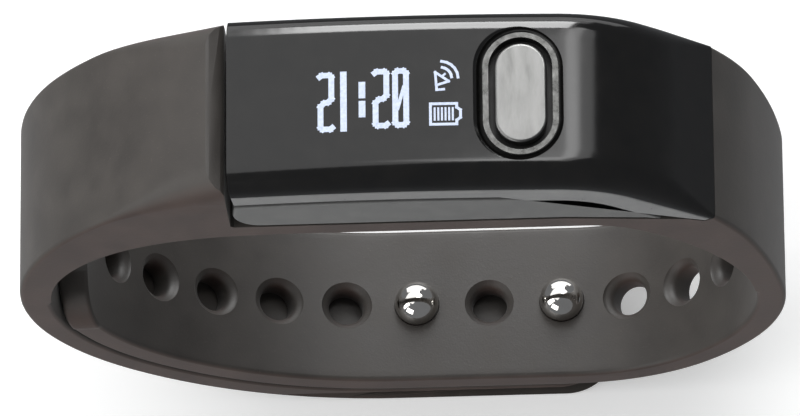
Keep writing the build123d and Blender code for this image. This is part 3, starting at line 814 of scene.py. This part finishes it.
def make_housing():
    """Lower housing with its round lower left corner, screw holes and contact holes."""
    upper = crossing(seam(COVER_DEPTH + BAND + SEAL), underside[0], underside[1])
    outline = plain(upper, 0.12)
    tail = [(underside[0][0] + (upper[-1][0] - underside[0][0]) * k / 6) for k in range(5, -1, -1)]
    fall = (underside[1][1] - underside[0][1]) / (underside[1][0] - underside[0][0])
    outline += [(x, pod_under + fall * (x - underside[0][0]), 0.35, HALF) for x in tail]
    left = pod_left[0]
    for k in range(1, 14):
        outline.append((15.0 + (left + POD_CORNER - 15.0) * k / 14, pod_under, 0.35, HALF))
    for k in range(11):
        a = 270 - 90 * k / 10
        x, z = left + POD_CORNER + POD_CORNER * cosd(a), pod_under + POD_CORNER + POD_CORNER * sind(a)
        outline.append((x, z, 0.35, HALF))
    housing = prism("housing_tub", outline, 4, 6)
    tools = [inner_space()]
    low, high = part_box("housing_screws")
    for x in (low.x / MM + 0.95, high.x / MM - 0.95):
        for y in (low.y / MM + 0.95, high.y / MM - 0.95):
            tools.append(upright("tool", x, y, 1.0, pod_under - 1, pod_under + 1.5))
    low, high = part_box("charging_contacts")
    for y in (-1.6, 1.6):
        tools.append(upright("tool", (low.x + high.x) / 2 / MM, y, 0.92, pod_under - 1, pod_under + 1.5))
    cut(housing, tools, 32)
    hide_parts("lower_housing")
    return dress(housing, housing_grey, "pod")


def upright(name, x, y, r, z0, z1, count=28):
    loop = [(x + r * cosd(360 * k / count), y + r * sind(360 * k / count)) for k in range(count)]
    return loops_mesh(name, [[(a, b, z0) for a, b in loop], [(a, b, z1) for a, b in loop]])


# --- display marks ---
def bar(points, width, lift=0.02):
    """Flat strip along points (x, y) on the cover's surface: vertices and faces in mm."""
    verts, faces = [], []
    for (x0, y0), (x1, y1) in zip(points, points[1:]):
        dx, dy = x1 - x0, y1 - y0
        length = math.hypot(dx, dy)
        ux, uy = dx / length * width / 2, dy / length * width / 2
        corners = [(x0 - ux - uy, y0 - uy + ux), (x0 - ux + uy, y0 - uy - ux),
                   (x1 + ux + uy, y1 + uy - ux), (x1 + ux - uy, y1 + uy + ux)]
        base = len(verts)
        for z_lift in (lift, -0.02):
            verts += [(x, y, surface_z(x) + z_lift) for x, y in corners]
        faces += [tuple(base + i for i in f) for f in
                  ((0, 1, 2, 3), (7, 6, 5, 4), (0, 4, 5, 1), (1, 5, 6, 2), (2, 6, 7, 3), (3, 7, 4, 0))]
    return verts, faces


def make_marks():
    """The time and two small symbols, as rows of lit strokes."""
    strokes = []
    stroke = 0.5
    w, h = 0.94, 4.95

    def two(x, y):
        c = 0.18
        mid = y - h * 0.5
        return [(x - 0.05, y - 0.12), (x + 0.12, y), (x + w - c, y), (x + w, y - c), (x + w, mid + 0.3),
                (x + w - 0.28, mid), (x + 0.3, mid - 0.08), (x, mid - 0.4), (x, y - h + c), (x + c, y - h),
                (x + w - 0.1, y - h), (x + w + 0.05, y - h + 0.12)]

    strokes.append((two(-5.45, 2.0), stroke))
    strokes.append(([(-3.47, 2.02), (-3.47, -2.93)], 0.56))
    strokes.append(([(-1.88, 1.01), (-1.88, 0.08)], 0.58))
    strokes.append(([(-1.88, -0.74), (-1.88, -1.67)], 0.58))
    strokes.append((two(-0.72, 2.18), stroke))
    x, y, c = 0.97, 2.2, 0.22
    strokes.append(([(x + c, y), (x + w - c, y), (x + w, y - c), (x + w, y - h + c), (x + w - c, y - h), (x + c, y - h),
                     (x, y - h + c), (x, y - c), (x + c, y)], stroke))
    strokes.append(([(x + 0.2, y - h + 1.5), (x + w - 0.2, y - 1.5)], 0.3))
    # battery symbol with six bars
    x, y, w, h = 3.98, -0.9, 2.25, 1.88
    strokes.append(([(x, y), (x + w, y), (x + w, y - 0.35), (x + w + 0.32, y - 0.6), (x + w + 0.32, y - h + 0.6),
                     (x + w, y - h + 0.35), (x + w, y - h), (x, y - h), (x, y)], 0.24))
    for k in range(6):
        strokes.append(([(x + 0.36 + k * 0.31, y - 0.42), (x + 0.36 + k * 0.31, y - h + 0.42)], 0.17))
    # signal symbol: a small dish with two waves
    x, y = 4.42, 2.0
    strokes.append(([(x, y), (x + 0.08, y - 1.2), (x + 1.15, y - 0.85), (x, y)], 0.22))
    strokes.append(([(x + 0.1, y - 1.25), (x + 0.1, y - 1.62), (x + 0.72, y - 1.58)], 0.22))
    for r, low_a, high_a in ((1.0, 5, 78), (1.55, 2, 84)):
        arc = [(x + 0.4 + r * cosd(a), y - 0.55 + r * sind(a))
               for a in (low_a + (high_a - low_a) * k / 5 for k in range(6))]
        strokes.append((arc, 0.24))
    strokes.append(([(x + 0.66, y - 0.32), (x + 0.82, y - 0.18)], 0.18))
    verts, faces = [], []
    for layer, (points, width) in enumerate(strokes):
        for a, b in zip(points, points[1:]):
            more, sides = bar([a, b], width * 0.999 ** layer, 0.02 + 0.0004 * len(faces) / 6)
            faces += [tuple(len(verts) + i for i in f) for f in sides]
            verts += more
    mesh = bpy.data.meshes.new("display_marks")
    mesh.from_pydata(verts, [], faces)
    piece = bpy.data.objects.new("display_marks", mesh)
    bpy.context.scene.collection.objects.link(piece)
    return dress(piece, dots, "pod")


make_strap()
make_tail()
make_studs()
make_cover()
make_band()
make_housing()
make_marks()

# --- carried-over CAD nodes ---
finishes = {
    "clasp_plate": steel, "housing_seal": seal_black, "button_bezel": bezel_metal, "button_seal": seal_black,
    "button_cap": cap_metal, "switch_body": chip_black, "switch_plunger": nylon, "oled_panel": panel_glass,
    "display_frame": frame_black, "display_flex": flex_amber, "main_board": board_green, "battery_pad": nylon,
    "battery_cell": cell_foil, "motor_case": steel, "motor_shaft": steel, "motor_weight": weight_grey,
    "charging_contacts": gold, "housing_screws": dark_steel, "radio_chip": chip_black, "motion_sensor": chip_black,
    "memory_chip": chip_black, "clock_crystal": steel, "chip_antenna": nylon,
}
softened = {"button_bezel": 0.16, "clasp_plate": 0.12, "housing_screws": 0.06, "battery_cell": 0.3,
            "main_board": 0.04, "display_frame": 0.06}
for name, material in finishes.items():
    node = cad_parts[name]
    node.data.materials.clear()
    node.data.materials.append(material)
    if name in softened:
        step = node.modifiers.new("soft_edges", "BEVEL")
        step.width = softened[name] * MM
        step.segments = 3
        step.limit_method = "ANGLE"
        step.angle_limit = math.radians(50)

# --- floor, lights and camera ---
def stage_floor():
    mesh = bpy.data.meshes.new("floor")
    s = 3.0
    mesh.from_pydata([(-s, -s, 0), (s, -s, 0), (s, s, 0), (-s, s, 0)], [], [(0, 1, 2, 3)])
    floor = bpy.data.objects.new("floor", mesh)
    bpy.context.scene.collection.objects.link(floor)
    material, tree, shader, place = new_material("floor_pale")
    cloud = noise(tree, place, 3.0)
    colour = ramp(tree, cloud.outputs[0], [(0.3, (0.86, 0.86, 0.855)), (0.7, (0.90, 0.90, 0.895))])
    tree.links.new(colour.outputs[0], shader.inputs["Base Color"])
    shader.inputs["Roughness"].default_value = 0.9
    tree.links.new(colour.outputs[0], shader.inputs["Emission Color"])
    shader.inputs["Emission Strength"].default_value = 0.35
    mesh.materials.append(material)
    floor.visible_glossy = False


def area_light(name, place, aim, size, power, tint=(1, 1, 1)):
    data = bpy.data.lights.new(name, "AREA")
    data.shape = "RECTANGLE"
    data.size, data.size_y = size
    data.energy = power
    data.color = tint
    lamp = bpy.data.objects.new(name, data)
    bpy.context.scene.collection.objects.link(lamp)
    lamp.location = place
    lamp.visible_camera = False
    way = Vector(aim) - Vector(place)
    lamp.rotation_euler = way.to_track_quat("-Z", "Y").to_euler()
    return lamp


bpy.context.scene.view_settings.view_transform = "Standard"
stage_floor()
middle = (0, 0, 0.04)
area_light("overhead", (-0.42, 0.35, 1.1), middle, (1.5, 1.3), 8)
window = area_light("window", (0.07, 1.0, 0.95), middle, (0.54, 0.8), 19)
window.visible_diffuse = False
area_light("back_fill", (-0.2, 1.3, 0.6), middle, (1.6, 0.5), 4)
area_light("back_low", (0.0, 1.2, 0.16), middle, (1.6, 0.4), 3)
area_light("left_box", (-1.2, -0.25, 0.7), middle, (0.9, 1.1), 8)
area_light("front_left", (-0.75, -1.1, 0.5), middle, (0.8, 0.6), 6)
area_light("bend_soft", (0.30, 0.35, 1.15), middle, (0.40, 0.8), 1.8)
area_light("bend_edge", (0.27, 0.35, 1.15), middle, (0.16, 0.8), 1.2)
world = bpy.data.worlds.new("studio")
world.use_nodes = True
world.node_tree.nodes["Background"].inputs[0].default_value = (0.92, 0.95, 1.0, 1)
world.node_tree.nodes["Background"].inputs[1].default_value = 0.2
bpy.context.scene.world = world


def make_camera():
    """Camera above the display, tipped towards the viewer and turned a little."""
    elevation, yaw, roll, distance, scale = 20.61, 3.12, -0.50, 780.0, 11.381
    target = Vector((0.10, -2.05, 35.94))
    right = Vector((1, 0, 0))
    up = Vector((0, cosd(elevation), sind(elevation)))
    back = Vector((0, -sind(elevation), cosd(elevation)))
    turn = Matrix.Rotation(math.radians(yaw), 3, "Y")
    right, up, back = turn @ right, turn @ up, turn @ back
    right, up = cosd(roll) * right + sind(roll) * up, cosd(roll) * up - sind(roll) * right
    data = bpy.data.cameras.new("camera")
    data.sensor_width = 36.0
    data.lens = scale * distance / 800 * data.sensor_width
    data.clip_start, data.clip_end = 0.05, 20.0
    camera = bpy.data.objects.new("camera", data)
    bpy.context.scene.collection.objects.link(camera)
    pose = Matrix((right, up, back)).transposed().to_4x4()
    pose.translation = (target + back * distance) * MM
    camera.matrix_world = pose
    bpy.context.scene.camera = camera


make_camera()
